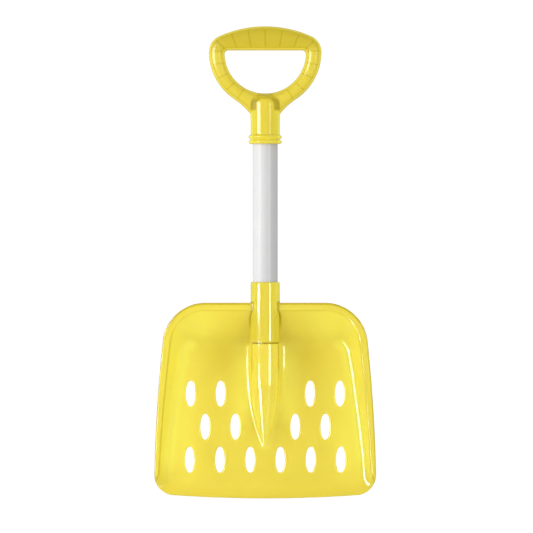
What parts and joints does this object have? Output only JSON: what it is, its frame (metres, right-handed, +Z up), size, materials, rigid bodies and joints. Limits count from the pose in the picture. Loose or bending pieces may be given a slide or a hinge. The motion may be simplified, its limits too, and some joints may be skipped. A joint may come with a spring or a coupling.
{
  "type": "sand shovel",
  "caption": "Child-sized sand shovel: dished blade with sieve slots and a ramped socket, on a straight tube with a D-shaped grip.",
  "frame": {"origin": "middle of the footprint on the ground, with the shovel lying on its back", "axes": "+Y along the handle towards the grip, +Z up out of the dish, +X to the right when seen from the front with the grip up"},
  "size_m": [0.2214, 0.4716, 0.0332],
  "materials": {
    "yellow_plastic": "glossy, slightly translucent moulding",
    "white_plastic": "satin extruded tube",
    "screw_steel": "zinc-plated"
  },
  "bodies": {
    "root": {"blade": "yellow_plastic", "shaft": "white_plastic", "grip": "yellow_plastic", "blade_screw": "screw_steel", "grip_screw": "screw_steel"}
  },
  "joints": []
}
